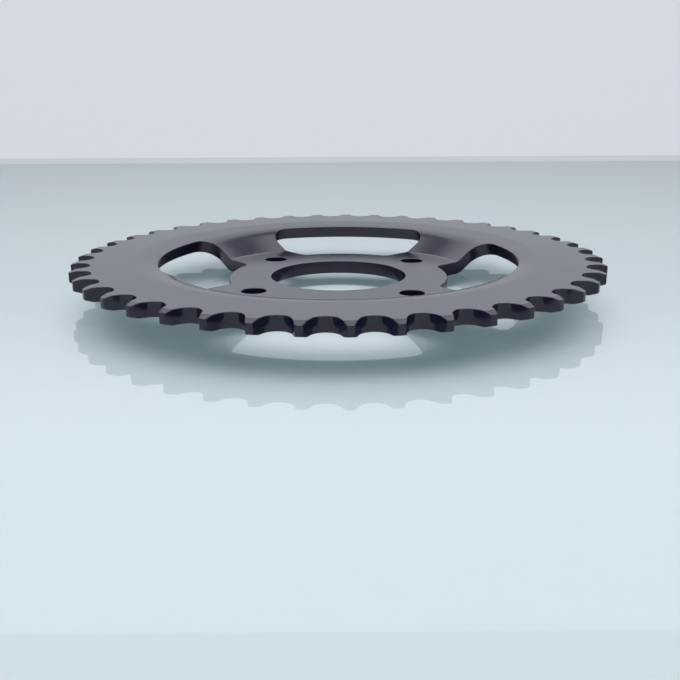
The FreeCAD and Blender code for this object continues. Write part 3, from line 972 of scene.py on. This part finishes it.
def stage_plane(name, corners, material):
    """A flat piece of the surroundings."""
    mesh = bpy.data.meshes.new(name)
    mesh.from_pydata(corners, [], [tuple(range(len(corners)))])
    mesh.materials.append(material)
    made = bpy.data.objects.new(name, mesh)
    bpy.context.scene.collection.objects.link(made)


def glass_face():
    """The pane's upper face: a mirror at low angles and clear, with a faint tint, from above."""
    material = bpy.data.materials.new("glass_pane")
    material.use_nodes = True
    tree = material.node_tree
    tree.nodes.clear()
    clear = node(tree, "ShaderNodeBsdfTransparent", {"Color": linear("#f6fbfc")})
    mirror = node(tree, "ShaderNodeBsdfGlossy", {"Roughness": PANE_ROUGHNESS})
    share = node(tree, "ShaderNodeFresnel", {"IOR": PANE_IOR})
    mixed = node(
        tree, "ShaderNodeMixShader", _0=share.outputs[0], _1=clear.outputs[0], _2=mirror.outputs[0]
    )
    node(tree, "ShaderNodeOutputMaterial", Surface=mixed.outputs[0])
    return material


def back_paint():
    """The pale paint behind the glass. It glows a little, so that shadows on it stay pale."""
    material = bpy.data.materials.new("pale_back_paint")
    material.use_nodes = True
    shader = material.node_tree.nodes["Principled BSDF"]
    shader.inputs["Base Color"].default_value = linear("#d0cecf")
    shader.inputs["Roughness"].default_value = 1.0
    shader.inputs["Specular IOR Level"].default_value = 0.0
    shader.inputs["Emission Color"].default_value = linear("#a8c8d2")
    seen = node(material.node_tree, "ShaderNodeLightPath").outputs["Is Camera Ray"]
    glow = node(material.node_tree, "ShaderNodeMath", {"operation": "MULTIPLY"}, _0=seen)
    glow.inputs[1].default_value = PAINT_GLOW
    material.node_tree.links.new(glow.outputs[0], shader.inputs["Emission Strength"])
    return material


def glowing_wall():
    """Dark grey wall paint with a painted glow that makes it white to the camera, and that in
    reflections grows stronger towards its top.
    """
    material = bpy.data.materials.new("wall_with_painted_glow")
    material.use_nodes = True
    tree = material.node_tree
    shader = tree.nodes["Principled BSDF"]
    shader.inputs["Base Color"].default_value = linear("#3c3d40")
    shader.inputs["Specular IOR Level"].default_value = 0.0
    shader.inputs["Emission Color"].default_value = linear("#e3e6ee")
    place = node(tree, "ShaderNodeTexCoord").outputs["Object"]
    height = node(tree, "ShaderNodeSeparateXYZ", Vector=place).outputs["Z"]
    height_glow = node(tree, "ShaderNodeMapRange", ramp(GLOW_HEIGHTS, WALL_GLOW), Value=height)
    path = node(tree, "ShaderNodeLightPath").outputs
    seen = node(tree, "ShaderNodeMath", {"operation": "MULTIPLY"}, _0=path["Is Camera Ray"])
    seen.inputs[1].default_value = WALL_GLOW[0]
    strength = node(
        tree,
        "ShaderNodeMath",
        {"operation": "MULTIPLY_ADD"},
        _0=path["Is Glossy Ray"],
        _1=height_glow.outputs[0],
        _2=seen.outputs[0],
    )
    tree.links.new(strength.outputs[0], shader.inputs["Emission Strength"])
    return material


facing_camera = Matrix.Rotation(CAMERA_HEADING, 4, "Z")


def table_corners(height):
    """Corners of a level plane that ends at the wall."""
    plan = ((-1, -FLOOR_HALF), (1, -FLOOR_HALF), (1, WALL_DISTANCE), (-1, WALL_DISTANCE))
    return [facing_camera @ Vector((x * FLOOR_HALF, y, height)) for x, y in plan]


wall_corners = [
    facing_camera @ Vector((x * FLOOR_HALF, WALL_DISTANCE, z))
    for x, z in ((-1, -PANE_DEPTH), (1, -PANE_DEPTH), (1, WALL_HEIGHT), (-1, WALL_HEIGHT))
]
stage_plane("pane_face", table_corners(0.0), glass_face())
stage_plane("pane_back", table_corners(-PANE_DEPTH), back_paint())
stage_plane("wall", wall_corners, glowing_wall())
print("pane depth", PANE_DEPTH, "wall", WALL_DISTANCE, "behind the part's axis")

# %% [markdown]
# Light. A wide soft lamp overhead does most of the work, as in a product booth. A narrow strip
# at the back lights the far floor, and a dim even world fills the rest. No lamp stands in front,
# so walls that face the camera go nearly black while flat faces pick up the pale wall behind.

# %% Lamps and world


def soft_lamp(name, place, target, width, depth, power):
    """A white rectangular area lamp that looks at a point."""
    lamp = bpy.data.lights.new(name, "AREA")
    lamp.shape = "RECTANGLE"
    lamp.size, lamp.size_y = width, depth
    lamp.energy = power
    made = bpy.data.objects.new(name, lamp)
    made.location = place
    made.rotation_euler = (Vector(target) - Vector(place)).to_track_quat("-Z", "Y").to_euler()
    bpy.context.scene.collection.objects.link(made)


soft_lamp("overhead_box", (0.0, -0.35, 0.9), (0.0, -0.05, 0.0), width=1.7, depth=1.1, power=10.6)
soft_lamp("back_strip", (0.0, 0.4, 0.8), (0.0, 0.25, 0.0), width=1.3, depth=0.3, power=1.7)
WORLD_STRENGTH = 0.62
world = bpy.data.worlds.new("booth")
bpy.context.scene.world = world
world.use_nodes = True
air_light = world.node_tree.nodes["Background"]
air_light.inputs["Color"].default_value = linear("#c4c9d0")
air_light.inputs["Strength"].default_value = WORLD_STRENGTH
print("lamps", len(bpy.data.lights), "world strength", WORLD_STRENGTH)

# %% [markdown]
# The camera. Its place and its three angles were found by fitting the bore, the four bolt holes
# and the row of tooth tips to the photograph. It stands low and close, so the near teeth look
# large and the ring closes to a thin ellipse.

# %% Camera
CAMERA_PLACE = Vector((28.92, -382.62, 90.75)) * MM
CAMERA_TILT = math.radians(16.647)
CAMERA_ROLL = math.radians(-0.288)
CAMERA_LENS = 47.77
SENSOR_WIDTH = 36.0

camera_data = bpy.data.cameras.new("camera")
camera_data.lens = CAMERA_LENS
camera_data.sensor_width = SENSOR_WIDTH
camera_data.clip_start = 0.01
camera_data.clip_end = 50.0
camera = bpy.data.objects.new("camera", camera_data)
camera.matrix_world = (
    Matrix.Translation(CAMERA_PLACE)
    @ Matrix.Rotation(CAMERA_HEADING, 4, "Z")
    @ Matrix.Rotation(math.pi / 2 - CAMERA_TILT, 4, "X")
    @ Matrix.Rotation(CAMERA_ROLL, 4, "Z")
)
bpy.context.scene.collection.objects.link(camera)
bpy.context.scene.camera = camera
bpy.context.scene.view_settings.view_transform = "Standard"
print("camera at", [round(part, 4) for part in CAMERA_PLACE], "lens", CAMERA_LENS)
